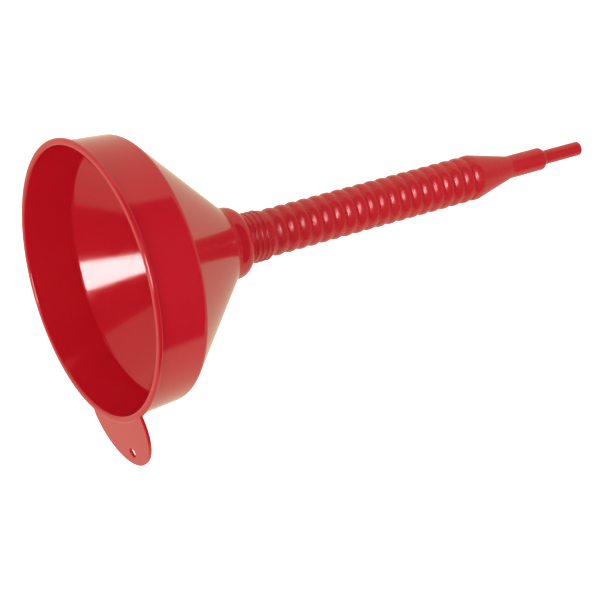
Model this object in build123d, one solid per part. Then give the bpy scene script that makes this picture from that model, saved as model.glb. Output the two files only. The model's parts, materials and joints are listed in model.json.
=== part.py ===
from build123d import *
import math
import os

# A moulded polyethylene funnel with a bendable spout, mouth up. Millimetres.
# The origin is on the funnel's axis where the cone meets the collar, which is
# where the funnel sits in the opening of a can. +Z is up to the mouth and +X
# points to the hanging tab. "Down" is towards the tip of the spout.

# Bowl: lip, upright band, cone, collar and hanging tab, all one moulding
MOUTH_RADIUS = 92.5
LIP_WIDTH = 4.6
LIP_HEIGHT = 3.2
LIP_ROUND = 1.4
BOWL_WALL = 2.2
BAND_HEIGHT = 35.8
BAND_TAPER = 2.2
BAND_CORNER_ROUND = 5.0
CONE_HEIGHT = 65.2
COLLAR_RADIUS = 24.5
COLLAR_LENGTH = 8.0
COLLAR_ROUND = 4.0
SHOULDER_MARGIN = 0.1

# Hanging tab
TAB_REACH = 31.1
TAB_RADIUS = 34.4
TAB_THICKNESS = 2.2
TAB_DROOP = 10.4
TAB_SETBACK = 0.9
TAB_BELOW_MOUTH = 0.4
TAB_EDGE_ROUND = 0.5
HANG_HOLE_RADIUS = 3.3
HANG_HOLE_FROM_TIP = 9.3

# Threaded neck, and the spout's cuff that is screwed over it
NECK_RADIUS = 15.0
NECK_WALL = 2.0
NECK_LENGTH = 15.3
THREAD_PITCH = 3.9
THREAD_TURNS = 4
THREAD_HEIGHT = 0.7
THREAD_BASE = 1.6
THREAD_CREST = 0.8
THREAD_FROM_END = 1.7
CUFF_WALL = 1.55
CUFF_RIDGE_HEIGHT = 0.9
CUFF_RIDGE_BASE = 2.6
CUFF_TAPER_LENGTH = 3.2

# Corrugations of the spout
RIB_COUNT = 19
RIB_PITCH = 9.3
CREST_RADIUS = 16.4
RIB_DEPTH = 1.9
SPOUT_WALL = 1.2
BEND_PER_VALLEY = 4.75

# Inner skirt of each ring, which reaches past the bending gap below it
SKIRT_WALL = 0.8
SKIRT_ROOT = 1.5
SKIRT_REACH = 1.0

# Nozzle: shoulder under the last crest, cone, step and tip
NOZZLE_SHOULDER_LENGTH = 1.8
NOZZLE_CONE_LENGTH = 34.2
NOZZLE_SHOULDER_ROUND = 6.0
STEP_RADIUS = 8.3
STEP_LENGTH = 30.0
STEP_ROUND = 1.6
STEP_FALL = 4.0
TIP_RADIUS = 5.25
TIP_LENGTH = 33.5
TIP_ROUND = 0.5

# Lift-out filter
FILTER_RING_WIDTH = 4.0
FILTER_RING_HEIGHT = 6.0
FILTER_CHAMFER = 2.5
GAUZE_THICKNESS = 0.6
GAUZE_GRIP = 1.0
GAUZE_ABOVE_FOOT = 2.7

# Clearances
MOVING_GAP = 0.3
SKIRT_GAP = 0.45
RUNNING_FIT = 0.05

# Radii that follow from the sizes above
WALL_TOP_RADIUS = MOUTH_RADIUS - LIP_WIDTH + BOWL_WALL
BAND_FOOT_RADIUS = WALL_TOP_RADIUS - BAND_TAPER
COLLAR_BORE = COLLAR_RADIUS - BOWL_WALL
NECK_BORE_RADIUS = NECK_RADIUS - NECK_WALL
CUFF_BORE = NECK_RADIUS + RUNNING_FIT
CUFF_RADIUS = CUFF_BORE + CUFF_WALL
SHOULDER_RADIUS = CUFF_RADIUS + CUFF_RIDGE_HEIGHT + SHOULDER_MARGIN
VALLEY_RADIUS = CREST_RADIUS - RIB_DEPTH
SPOUT_BORE = VALLEY_RADIUS - SPOUT_WALL
SKIRT_RADIUS = SPOUT_BORE - SKIRT_GAP
SKIRT_BORE = SKIRT_RADIUS - SKIRT_WALL

# Heights on the axis that follow from the sizes above
MOUTH_TOP = CONE_HEIGHT + BAND_HEIGHT
SHOULDER_FOOT = -COLLAR_LENGTH - (COLLAR_RADIUS - SHOULDER_RADIUS)
NECK_FOOT = SHOULDER_FOOT - NECK_LENGTH
CUFF_TOP = SHOULDER_FOOT - MOVING_GAP
CUFF_SHELF = NECK_FOOT - MOVING_GAP

# The ledge inside the collar that the filter sits on, a wall above the shoulder
LEDGE_TOP = -COLLAR_LENGTH + BOWL_WALL * (math.sqrt(2) - 1)

# The gap at a valley lets neighbouring rings turn to their limit and stay apart
BEND_GAP = VALLEY_RADIUS * math.sin(math.radians(BEND_PER_VALLEY)) + MOVING_GAP

# The first valley lies half a bending gap below the cuff's tapered foot
FIRST_VALLEY = CUFF_SHELF - CUFF_TAPER_LENGTH - BEND_GAP / 2

os.makedirs("parts", exist_ok=True)


def valley(index):
    """Height of a valley, counted from 0 at the cuff."""
    return FIRST_VALLEY - index * RIB_PITCH


def outline(*points):
    """A closed profile through (radius, height) points."""
    return make_face(Polyline(*points, close=True))


def rounded(profile, corner, radius):
    """The profile with the corner nearest to the given point rounded."""
    nearest = profile.vertices().sort_by_distance(Vector(*corner))[0]
    return fillet(nearest, radius)


def spun(profile):
    """A solid turned about Z from a profile drawn as (radius, height)."""
    return revolve(Plane.XZ * profile, Axis.Z)


def thread_turn(radius, height, middle, widen):
    """A ring of trapezoid section about Z: one turn of thread, or its groove."""
    base = THREAD_BASE / 2 + widen
    crest = THREAD_CREST / 2 + widen
    root = radius - height
    below = [(root, middle - base), (radius, middle - crest)]
    above = [(radius, middle + crest), (root, middle + base)]
    return spun(outline(*below, *above))


def thread_middles():
    """Height of the middle of each thread turn, from the cuff's top down."""
    return [CUFF_TOP - THREAD_FROM_END - turn * THREAD_PITCH for turn in range(THREAD_TURNS)]


def bowl_wall():
    """The bowl's wall: lip, band, cone, collar, shoulder and neck, turned as one."""
    slope = (BAND_FOOT_RADIUS - COLLAR_RADIUS) / CONE_HEIGHT
    cone_inset = BOWL_WALL * math.hypot(1, slope)
    inner_foot_radius = BAND_FOOT_RADIUS - BOWL_WALL
    inner_foot = CONE_HEIGHT + (cone_inset - BOWL_WALL) / slope
    cone_end = (COLLAR_BORE - COLLAR_RADIUS + cone_inset) / slope
    ledge_foot = LEDGE_TOP - (COLLAR_BORE - NECK_BORE_RADIUS)
    lip_foot = MOUTH_TOP - LIP_HEIGHT
    profile = outline(
        (MOUTH_RADIUS - LIP_WIDTH, MOUTH_TOP),
        (MOUTH_RADIUS, MOUTH_TOP),
        (MOUTH_RADIUS, lip_foot),
        (WALL_TOP_RADIUS, lip_foot),
        (BAND_FOOT_RADIUS, CONE_HEIGHT),
        (COLLAR_RADIUS, 0),
        (COLLAR_RADIUS, -COLLAR_LENGTH),
        (SHOULDER_RADIUS, SHOULDER_FOOT),
        (NECK_RADIUS, SHOULDER_FOOT),
        (NECK_RADIUS, NECK_FOOT),
        (NECK_BORE_RADIUS, NECK_FOOT),
        (NECK_BORE_RADIUS, ledge_foot),
        (COLLAR_BORE, LEDGE_TOP),
        (COLLAR_BORE, cone_end),
        (inner_foot_radius, inner_foot),
    )
    profile = rounded(profile, (MOUTH_RADIUS, MOUTH_TOP), LIP_ROUND)
    profile = rounded(profile, (MOUTH_RADIUS, lip_foot), LIP_ROUND)
    profile = rounded(profile, (MOUTH_RADIUS - LIP_WIDTH, MOUTH_TOP), LIP_ROUND)
    profile = rounded(profile, (BAND_FOOT_RADIUS, CONE_HEIGHT), BAND_CORNER_ROUND)
    profile = rounded(profile, (inner_foot_radius, inner_foot), BAND_CORNER_ROUND - BOWL_WALL)
    profile = rounded(profile, (COLLAR_RADIUS, -COLLAR_LENGTH), COLLAR_ROUND)
    return spun(profile)


def tab():
    """The hanging tab: part of a disc that droops from the lip, with its hole."""
    hinge_radius = MOUTH_RADIUS - LIP_WIDTH / 2
    droop = math.radians(TAB_DROOP)
    top = Plane(
        origin=(hinge_radius, 0, MOUTH_TOP - TAB_SETBACK),
        x_dir=(math.cos(droop), 0, -math.sin(droop)),
        z_dir=(math.sin(droop), 0, math.cos(droop)),
    )
    tip = LIP_WIDTH / 2 + TAB_REACH
    disc = extrude(top * Pos(tip - TAB_RADIUS, 0) * Circle(TAB_RADIUS), -TAB_THICKNESS)
    disc = fillet(disc.edges(), TAB_EDGE_ROUND)
    hole = top * Pos(tip - HANG_HOLE_FROM_TIP, 0) * Circle(HANG_HOLE_RADIUS)
    disc -= extrude(hole, 2 * TAB_THICKNESS, both=True)
    inside = Cylinder(hinge_radius - LIP_ROUND / 2, 2 * (MOUTH_TOP + TAB_RADIUS))
    room = 2 * (MOUTH_RADIUS + TAB_REACH)
    above = Pos(0, 0, MOUTH_TOP - TAB_BELOW_MOUTH + room / 2) * Box(room, room, room)
    return disc - inside - above


def bowl():
    """The bowl with its tab and the thread turns on its neck."""
    body = bowl_wall() + tab()
    for middle in thread_middles():
        body += thread_turn(NECK_RADIUS + THREAD_HEIGHT, THREAD_HEIGHT, middle, 0)
    return body


def filter_frame():
    """The ring that holds the gauze and sits on the sloped ledge in the collar."""
    outer = COLLAR_BORE - MOVING_GAP
    inner = outer - FILTER_RING_WIDTH
    chamfer_top = filter_foot() + FILTER_CHAMFER
    top = filter_foot() + FILTER_RING_HEIGHT
    body = spun(
        outline(
            (inner, filter_foot()),
            (outer - FILTER_CHAMFER, filter_foot()),
            (outer, chamfer_top),
            (outer, top),
            (inner, top),
        )
    )
    return body - filter_gauze()


def filter_foot():
    """Height of the frame's foot when its chamfer rests on the collar's ledge."""
    return LEDGE_TOP + MOVING_GAP * (math.sqrt(2) - 1) - FILTER_CHAMFER


def filter_gauze():
    """The disc that the woven gauze fills, gripped by the frame."""
    radius = COLLAR_BORE - MOVING_GAP - FILTER_RING_WIDTH + GAUZE_GRIP
    foot = filter_foot() + GAUZE_ABOVE_FOOT
    return Pos(0, 0, foot + GAUZE_THICKNESS / 2) * Cylinder(radius, GAUZE_THICKNESS)


def skirt(valley_index):
    """The inner skirt at a ring's foot, with the root that joins it to the wall."""
    ring_foot = valley(valley_index) + BEND_GAP / 2
    skirt_foot = valley(valley_index) - BEND_GAP / 2 - SKIRT_REACH
    root_radius = VALLEY_RADIUS - SPOUT_WALL / 2
    return spun(
        outline(
            (SKIRT_BORE, skirt_foot),
            (SKIRT_RADIUS, skirt_foot),
            (SKIRT_RADIUS, ring_foot),
            (root_radius, ring_foot),
            (root_radius, ring_foot + SKIRT_ROOT),
            (SKIRT_BORE, ring_foot + SKIRT_ROOT),
        )
    )


def spout_cuff():
    """The cuff: ridged outside, grooved inside over the neck's thread."""
    foot = valley(0) + BEND_GAP / 2
    taper_top = foot + CUFF_TAPER_LENGTH
    body = spun(
        outline(
            (CUFF_BORE, CUFF_TOP),
            (CUFF_RADIUS, CUFF_TOP),
            (CUFF_RADIUS, taper_top),
            (VALLEY_RADIUS, foot),
            (SPOUT_BORE, foot),
            (CUFF_BORE, CUFF_SHELF),
        )
    )
    for middle in thread_middles():
        body += cuff_ridge(middle)
        groove_radius = NECK_RADIUS + THREAD_HEIGHT + MOVING_GAP
        body -= thread_turn(groove_radius, THREAD_HEIGHT + MOVING_GAP, middle, MOVING_GAP)
    return body + skirt(0)


def cuff_ridge(middle):
    """One rounded ridge on the outside of the cuff."""
    above = (CUFF_RADIUS, middle + CUFF_RIDGE_BASE / 2)
    below = (CUFF_RADIUS, middle - CUFF_RIDGE_BASE / 2)
    bulge = ThreePointArc(below, (CUFF_RADIUS + CUFF_RIDGE_HEIGHT, middle), above)
    back = Polyline(above, (CUFF_BORE, above[1]), (CUFF_BORE, below[1]), below)
    return spun(make_face([bulge, back]))


def spout_rib(index):
    """One corrugation, from the bending gap below a valley to the next gap."""
    top = valley(index) - BEND_GAP / 2
    foot = valley(index + 1) + BEND_GAP / 2
    middle = (top + foot) / 2
    outside = ThreePointArc((VALLEY_RADIUS, foot), (CREST_RADIUS, middle), (VALLEY_RADIUS, top))
    crest_bore = CREST_RADIUS - SPOUT_WALL
    inside = ThreePointArc((SPOUT_BORE, top), (crest_bore, middle), (SPOUT_BORE, foot))
    top_edge = Line((VALLEY_RADIUS, top), (SPOUT_BORE, top))
    foot_edge = Line((SPOUT_BORE, foot), (VALLEY_RADIUS, foot))
    return spun(make_face([outside, top_edge, inside, foot_edge])) + skirt(index + 1)


def spout_nozzle():
    """The last corrugation, run out into the cone, the step and the open tip."""
    top = valley(RIB_COUNT - 1) - BEND_GAP / 2
    crest = valley(RIB_COUNT - 1) - RIB_PITCH / 2
    cone_top = crest - NOZZLE_SHOULDER_LENGTH
    step_top = cone_top - NOZZLE_CONE_LENGTH
    step_foot = step_top - STEP_LENGTH
    tip_top = step_foot - STEP_FALL
    tip_foot = tip_top - TIP_LENGTH
    outside = TangentArc((CREST_RADIUS, crest), (VALLEY_RADIUS, top), tangent=(0, 1))
    inner = TangentArc((CREST_RADIUS - SPOUT_WALL, crest), (SPOUT_BORE, top), tangent=(0, 1))
    below = Polyline(
        (CREST_RADIUS, crest),
        (CREST_RADIUS, cone_top),
        (STEP_RADIUS, step_top),
        (STEP_RADIUS, step_foot),
        (TIP_RADIUS, tip_top),
        (TIP_RADIUS, tip_foot),
        (TIP_RADIUS - SPOUT_WALL, tip_foot),
        (TIP_RADIUS - SPOUT_WALL, tip_top),
        (STEP_RADIUS - SPOUT_WALL, step_foot),
        (STEP_RADIUS - SPOUT_WALL, step_top),
        (CREST_RADIUS - SPOUT_WALL, cone_top),
        (CREST_RADIUS - SPOUT_WALL, crest),
    )
    profile = make_face([outside, Line((VALLEY_RADIUS, top), (SPOUT_BORE, top)), inner, below])
    profile = rounded(profile, (CREST_RADIUS, cone_top), NOZZLE_SHOULDER_ROUND)
    profile = rounded(profile, (STEP_RADIUS, step_foot), STEP_ROUND)
    profile = rounded(profile, (TIP_RADIUS, tip_foot), TIP_ROUND)
    return spun(profile)


def save(shape, node):
    """Write one node's STEP file and say how large it is."""
    export_step(shape, f"parts/{node}.step")
    size = shape.bounding_box().size
    print(f"{node}: {size.X:.1f} x {size.Y:.1f} x {size.Z:.1f} mm, {shape.volume / 1000:.2f} cm3")


save(bowl(), "bowl")
save(filter_frame(), "filter_frame")
save(filter_gauze(), "filter_gauze")
save(spout_cuff(), "spout_cuff")
for number in range(1, RIB_COUNT):
    save(spout_rib(number - 1), f"spout_rib_{number:02d}")
save(spout_nozzle(), "spout_nozzle")
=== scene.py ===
# %% [markdown]
# # A red polyethylene funnel with a bendable spout
#
# The real thing is four pieces: a bowl that is injection moulded in one shot,
# a spout that is blow moulded like a bottle, and a filter made of a small ring
# and a disc of woven wire. This file builds what the eye sees of each of them
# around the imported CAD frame, which holds the sizes and the joints.
#
# Everything is in metres in the frame's own axes: the funnel's axis is Z, the
# mouth is up, the hanging tab points along +X, and Z is zero where the cone
# meets the collar.

# %% Load the frame
import json
import math

import bmesh
import bpy
from mathutils import Matrix, Vector


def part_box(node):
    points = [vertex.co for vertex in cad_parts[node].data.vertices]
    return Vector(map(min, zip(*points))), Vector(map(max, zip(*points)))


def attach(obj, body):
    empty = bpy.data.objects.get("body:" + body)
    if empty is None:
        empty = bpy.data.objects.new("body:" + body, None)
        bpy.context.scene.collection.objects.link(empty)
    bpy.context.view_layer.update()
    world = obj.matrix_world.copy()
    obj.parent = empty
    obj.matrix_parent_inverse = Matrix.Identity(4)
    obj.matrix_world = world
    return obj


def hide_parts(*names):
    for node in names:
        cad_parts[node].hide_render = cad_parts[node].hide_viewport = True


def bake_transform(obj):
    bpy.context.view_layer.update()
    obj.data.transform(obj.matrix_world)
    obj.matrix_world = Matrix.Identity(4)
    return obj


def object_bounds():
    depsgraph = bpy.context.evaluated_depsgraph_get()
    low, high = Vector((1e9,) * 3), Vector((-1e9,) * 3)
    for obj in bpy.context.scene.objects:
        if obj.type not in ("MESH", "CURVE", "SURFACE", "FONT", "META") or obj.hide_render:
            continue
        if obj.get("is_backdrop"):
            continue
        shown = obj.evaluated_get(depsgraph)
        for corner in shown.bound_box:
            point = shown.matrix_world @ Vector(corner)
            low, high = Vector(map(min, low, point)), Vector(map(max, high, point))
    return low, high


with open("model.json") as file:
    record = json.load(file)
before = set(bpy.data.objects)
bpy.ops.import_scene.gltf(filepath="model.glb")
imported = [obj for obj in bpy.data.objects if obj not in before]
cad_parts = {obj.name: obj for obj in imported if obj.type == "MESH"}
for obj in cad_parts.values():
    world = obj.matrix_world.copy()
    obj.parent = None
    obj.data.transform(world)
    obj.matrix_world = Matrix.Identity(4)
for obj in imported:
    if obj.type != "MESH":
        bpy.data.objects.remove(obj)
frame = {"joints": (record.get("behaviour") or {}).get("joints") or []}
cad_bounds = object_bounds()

MM = 0.001

# %% [markdown]
# ## Sizes read from the frame
#
# Whatever the CAD boxes can tell is read from them, so the looks stay on the
# design when it changes. Wall thicknesses and small roundings can't be read
# from a box, so they are named here once.

# %% Sizes
bowl_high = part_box("bowl")[1]
cuff_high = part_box("spout_cuff")[1]
rib_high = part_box("spout_rib_01")[1]
nozzle_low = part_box("spout_nozzle")[0]
ring_low, ring_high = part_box("filter_frame")
gauze_low, gauze_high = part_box("filter_gauze")
hinges = [joint for joint in frame["joints"] if joint["name"].startswith("spout_bend")]

MOUTH_TOP = bowl_high.z
MOUTH_RADIUS = bowl_high.y
CREST_RADIUS = rib_high.x
VALLEYS = [joint["pos_m"][2] for joint in hinges]
PITCH = VALLEYS[0] - VALLEYS[1]
CUFF_TOP = cuff_high.z
TIP_FOOT = nozzle_low.z

LIP_WIDTH = 4.6 * MM
LIP_HEIGHT = 3.2 * MM
BOWL_WALL = 2.2 * MM
BAND_HEIGHT = 35.8 * MM
BAND_TAPER = 2.2 * MM
COLLAR_RADIUS = 24.5 * MM
COLLAR_LENGTH = 8.0 * MM
SHOULDER_RADIUS = 17.6 * MM
NECK_RADIUS = 15.0 * MM
NECK_BORE = 13.0 * MM
NECK_LENGTH = 15.3 * MM
THREAD_PITCH = 3.9 * MM
THREAD_TOP = CUFF_TOP - 1.7 * MM
GAUZE_GRIP = 1.0 * MM
RING_CHAMFER = 2.5 * MM
RIB_DEPTH = 1.9 * MM
SPOUT_WALL = 1.2 * MM
VALLEY_RADIUS = CREST_RADIUS - RIB_DEPTH

print("mouth", round(2 * MOUTH_RADIUS / MM, 1), "mm, rib pitch", round(PITCH / MM, 2), "mm")
print("hinges", len(hinges), "first valley", round(VALLEYS[0] / MM, 2), "mm")

# %% [markdown]
# ## Camera
#
# A product picture like this is taken from well back with a long lens, so the
# funnel shows little perspective. The camera looks down into the mouth and is
# rolled until the spout points to the upper right. Its place is given the way
# a photographer would say it: what it aims at, from how far, from which side,
# and how far it is rolled. Sides are counted from -Y towards +X, here and for
# the lights.

# %% Camera
AIM = Vector((48.45, 7.81, -44.37)) * MM
DISTANCE = 1182.4 * MM
AZIMUTH = math.radians(189.6)
ELEVATION = math.radians(29.885)
ROLL = math.radians(106.65)
LENS_MM = 105.74
CLIP_START = 10 * MM


def towards_side(azimuth, elevation):
    """The direction from the funnel to a place on this side and this high."""
    out = math.cos(elevation)
    return Vector((math.sin(azimuth) * out, -math.cos(azimuth) * out, math.sin(elevation)))


back = towards_side(AZIMUTH, ELEVATION)
level_right = Vector((math.cos(AZIMUTH), math.sin(AZIMUTH), 0))
level_up = back.cross(level_right)
right = math.cos(ROLL) * level_right - math.sin(ROLL) * level_up
up = math.cos(ROLL) * level_up + math.sin(ROLL) * level_right

lens = bpy.data.cameras.new("camera")
lens.lens = LENS_MM
lens.clip_start = CLIP_START
camera = bpy.data.objects.new("camera", lens)
rolled = Matrix((right, up, back)).transposed().to_4x4()
camera.matrix_world = Matrix.Translation(AIM + back * DISTANCE) @ rolled
bpy.context.scene.collection.objects.link(camera)
bpy.context.scene.camera = camera
print("camera at", [round(value, 3) for value in camera.matrix_world.translation])

# %% [markdown]
# ## One helper for nodes, one for colours
#
# Every tree below, for a shape or for a finish, is built with the same small function: it adds a node,
# applies its settings and fills its inputs, by a link where the value is another node's socket. Colours
# are given as sRGB hex values, and shaders work in linear light, so one function converts.

# %% Helpers for trees and colours
MATH = "ShaderNodeMath"
WHITE = (1.0, 1.0, 1.0, 1.0)
SPOUT_RED = "#D41B26"

# A Mix node's colour sockets share their names with its number sockets
MIX_FIRST = 6
MIX_SECOND = 7
MIX_COLOUR = 2


def node(tree, kind, inputs=None, **settings):
    made = tree.nodes.new(kind)
    for name, value in settings.items():
        setattr(made, name, value)
    for socket, value in (inputs or {}).items():
        if isinstance(value, bpy.types.NodeSocket):
            tree.links.new(value, made.inputs[socket])
        else:
            made.inputs[socket].default_value = value
    return made


def linear(hex_colour):
    channels = [int(hex_colour[i : i + 2], 16) / 255 for i in (1, 3, 5)]
    curve = [c / 12.92 if c <= 0.04045 else ((c + 0.055) / 1.055) ** 2.4 for c in channels]
    return (*curve, 1.0)


print("the spout's red in linear light:", [round(c, 3) for c in linear(SPOUT_RED)])

# %% [markdown]
# ## Surroundings
#
# Glossy plastic shows its surroundings as much as its own colour. Here they are
# the warm white walls of a studio on the far side of the funnel, an unlit room
# on the camera's side, and one big soft light overhead. Light that reaches the
# matt part of the plastic is mixed so well by the walls that it is almost even,
# so the world gives diffuse rays a plain pale glow and keeps the walls, the
# dark side and the soft light for glossy rays.
#
# Each part of it is a range over how far a ray looks in one direction: towards
# the soft light, across and along it, towards the walls, or up.

# %% World
TO_WHITE_WALLS = Vector((-0.068, -0.981, -0.184))
DARK_END, LIT_START = -0.29, -0.23
DARK_SIDE = 0.02
WALL_FOOT, WALL_FOOT_END = 0.5, -0.4
WALL_HEAD, WALL_HEAD_START, WALL_HEAD_END = 0.7, -0.1, 0.8
WALL_TINT = (1.0, 0.96, 0.7, 1.0)
GLOW_BELOW, GLOW_ABOVE = 0.68, 0.73
LIGHT_AZIMUTH = math.radians(178)
LIGHT_ELEVATION = math.radians(63)
LIGHT_HALF_WIDTH = math.tan(math.radians(8.5))
LIGHT_HALF_HEIGHT = math.tan(math.radians(11))
LIGHT_EDGE = 0.015
LIGHT_STRENGTH = 21.0
AHEAD_START, AHEAD_END = 0.1, 0.2
ABOVE_ZERO = 0.001

to_light = towards_side(LIGHT_AZIMUTH, LIGHT_ELEVATION)
light_across = Vector((math.cos(LIGHT_AZIMUTH), math.sin(LIGHT_AZIMUTH), 0))
light_along = to_light.cross(light_across)
ways = {"light": to_light, "across": light_across, "along": light_along, "walls": TO_WHITE_WALLS}

world = bpy.data.worlds.new("studio")
world.use_nodes = True
world.cycles.sampling_method = "NONE"
bpy.context.scene.world = world
studio = world.node_tree
studio.nodes.clear()
direction = node(studio, "ShaderNodeTexCoord").outputs["Generated"]

towards = {}
for name, way in ways.items():
    dot = node(studio, "ShaderNodeVectorMath", {0: direction, 1: way}, operation="DOT_PRODUCT")
    towards[name] = dot.outputs["Value"]
towards["ceiling"] = node(studio, "ShaderNodeSeparateXYZ", {0: direction}).outputs["Z"]
print("soft light is at", [round(value, 2) for value in to_light])

# %% [markdown]
# The soft light is a rectangle with soft edges. It is cut out of the sky by how
# far a ray slopes away from the light's middle, across and along.

# %% Soft light's rectangle
facing_light = {0: towards["light"], 1: ABOVE_ZERO}
facing_light = node(studio, MATH, facing_light, operation="MAXIMUM").outputs[0]
patch = {"Value": towards["light"], 1: AHEAD_START, 2: AHEAD_END, 3: 0.0, 4: 1.0}
patch = node(studio, "ShaderNodeMapRange", patch).outputs[0]
for name, half in (("across", LIGHT_HALF_WIDTH), ("along", LIGHT_HALF_HEIGHT)):
    slope = node(studio, MATH, {0: towards[name], 1: facing_light}, operation="DIVIDE").outputs[0]
    away = node(studio, MATH, {0: slope}, operation="ABSOLUTE").outputs[0]
    inside = {"Value": away, 1: half - LIGHT_EDGE, 2: half + LIGHT_EDGE, 3: 1.0, 4: 0.0}
    inside = node(studio, "ShaderNodeMapRange", inside, interpolation_type="SMOOTHSTEP").outputs[0]
    patch = node(studio, MATH, {0: patch, 1: inside}, operation="MULTIPLY").outputs[0]
print("soft light's edge is", LIGHT_EDGE, "wide, as a slope")

# %% [markdown]
# The walls are a little darker at the foot and at the head, and end softly
# where the dark side begins. What a ray gets depends on its kind: plain white
# for the camera, walls and light for gloss, and the even glow for the rest.

# %% Walls and what each ray sees
low_wall = {"Value": towards["ceiling"], 1: -1.0, 2: WALL_FOOT_END, 3: WALL_FOOT, 4: 1.0}
low_wall = node(studio, "ShaderNodeMapRange", low_wall).outputs[0]
high_wall = {"Value": towards["ceiling"], 1: WALL_HEAD_START, 2: WALL_HEAD_END, 3: 1.0, 4: WALL_HEAD}
high_wall = node(studio, "ShaderNodeMapRange", high_wall).outputs[0]
walls = node(studio, MATH, {0: low_wall, 1: high_wall}, operation="MULTIPLY").outputs[0]
lit_side = {"Value": towards["walls"], 1: DARK_END, 2: LIT_START, 3: DARK_SIDE, 4: 1.0}
lit_side = node(studio, "ShaderNodeMapRange", lit_side, interpolation_type="SMOOTHSTEP").outputs[0]
room = node(studio, MATH, {0: walls, 1: lit_side}, operation="MULTIPLY").outputs[0]
in_gloss = {0: patch, 1: LIGHT_STRENGTH, 2: room}
in_gloss = node(studio, MATH, in_gloss, operation="MULTIPLY_ADD").outputs[0]

rays = node(studio, "ShaderNodeLightPath")
even_glow = {"Value": towards["ceiling"], 1: -1.0, 2: 1.0, 3: GLOW_BELOW, 4: GLOW_ABOVE}
even_glow = node(studio, "ShaderNodeMapRange", even_glow).outputs[0]
brightness = {0: rays.outputs["Is Glossy Ray"], 2: even_glow, 3: in_gloss}
brightness = node(studio, "ShaderNodeMix", brightness).outputs[0]
brightness = {0: rays.outputs["Is Camera Ray"], 2: brightness, 3: 1.0}
brightness = node(studio, "ShaderNodeMix", brightness).outputs[0]
shows_walls = {0: rays.outputs["Is Glossy Ray"], 1: patch}
shows_walls = node(studio, MATH, shows_walls, operation="SUBTRACT", use_clamp=True).outputs[0]
tints = {0: shows_walls, MIX_FIRST: WHITE, MIX_SECOND: WALL_TINT}
tint = node(studio, "ShaderNodeMix", tints, data_type="RGBA").outputs[MIX_COLOUR]
backdrop = node(studio, "ShaderNodeBackground", {"Color": tint, "Strength": brightness})
node(studio, "ShaderNodeOutputWorld", {"Surface": backdrop.outputs[0]})
print("world tree has", len(studio.nodes), "nodes")

# %% [markdown]
# ## Three lights
#
# A large area light from the soft light's direction gives the matt part of the
# plastic a little shape. It is hidden from glossy rays, which already see the
# soft light in the world. A weak one below fills the shade under the nozzle. A
# third works the other way: only gloss sees it, and its narrow beam is aimed at
# the nozzle, so the folds of the spout get soft highlights that fade out
# towards the cuff.

# %% Lights
KEY_SIZE = {"width": 0.8, "height": 0.6}
KEY_WATTS = 6.0
KEY_AWAY = 1.7
FILL_SIZE = {"width": 0.5, "height": 0.5}
FILL_WATTS = 0.5
FILL_PLACE = Vector((0, 0.38, TIP_FOOT - 50 * MM))
PANEL_SIZE = {"width": 0.3, "height": 0.5}
PANEL_WATTS = 0.3
PANEL_ELEVATION = math.radians(22)
PANEL_AWAY = 0.5
PANEL_SPREAD = math.radians(37)
PANEL_FOLD = 11
PANEL_AIM_ABOVE_TIP = 30 * MM


def area_light(name, place, aim, watts, width, height):
    """A rectangular area light at a place, shining on what it aims at."""
    data = bpy.data.lights.new(name, "AREA")
    data.shape = "RECTANGLE"
    data.size = width
    data.size_y = height
    data.energy = watts
    light = bpy.data.objects.new(name, data)
    turned = (place - aim).normalized().to_track_quat("Z", "Y").to_matrix().to_4x4()
    light.matrix_world = Matrix.Translation(place) @ turned
    bpy.context.scene.collection.objects.link(light)
    return light


key = area_light("soft_key", AIM + to_light * KEY_AWAY, AIM, KEY_WATTS, **KEY_SIZE)
key.visible_glossy = False

fill_aim = Vector((0, 0, TIP_FOOT / 2))
fill = area_light("tip_fill", FILL_PLACE, fill_aim, FILL_WATTS, **FILL_SIZE)
fill.visible_glossy = False

panel_foot = Vector((0, 0, VALLEYS[PANEL_FOLD]))
panel_place = panel_foot + towards_side(AZIMUTH, PANEL_ELEVATION) * PANEL_AWAY
panel_aim = Vector((0, 0, TIP_FOOT + PANEL_AIM_ABOVE_TIP))
panel = area_light("spout_panel", panel_place, panel_aim, PANEL_WATTS, **PANEL_SIZE)
panel.data.spread = PANEL_SPREAD
panel.visible_camera = False
panel.visible_diffuse = False
print("lights:", key.name, fill.name, panel.name)

# %% [markdown]
# ## Floor
#
# The floor is a plain pale sheet below the tip of the spout. It glows a little,
# as a lit paper sweep does, and glossy rays pass it by so that it doesn't
# repeat the white walls.

# %% Floor
FLOOR_HALF = 6.0
FLOOR_GAP = 20 * MM
PAPER_ROUGHNESS = 0.9
PAPER_GLOW = 0.75

floor_height = TIP_FOOT - FLOOR_GAP
corners = [(-1, -1), (1, -1), (1, 1), (-1, 1)]
corners = [(x * FLOOR_HALF, y * FLOOR_HALF, floor_height) for x, y in corners]
floor_mesh = bpy.data.meshes.new("floor")
floor_mesh.from_pydata(corners, [], [(0, 1, 2, 3)])
floor = bpy.data.objects.new("floor", floor_mesh)
floor.visible_glossy = False
floor.visible_diffuse = False
bpy.context.scene.collection.objects.link(floor)
floor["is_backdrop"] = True

paper = bpy.data.materials.new("paper_sweep")
paper.use_nodes = True
paper_shader = paper.node_tree.nodes["Principled BSDF"]
paper_shader.inputs["Base Color"].default_value = linear("#F2F2F0")
paper_shader.inputs["Roughness"].default_value = PAPER_ROUGHNESS
paper_shader.inputs["Emission Color"].default_value = WHITE
paper_shader.inputs["Emission Strength"].default_value = PAPER_GLOW
floor_mesh.materials.append(paper)

bpy.context.scene.view_settings.view_transform = "Standard"
print("floor at", round(floor_height / MM, 1), "mm")

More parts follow.
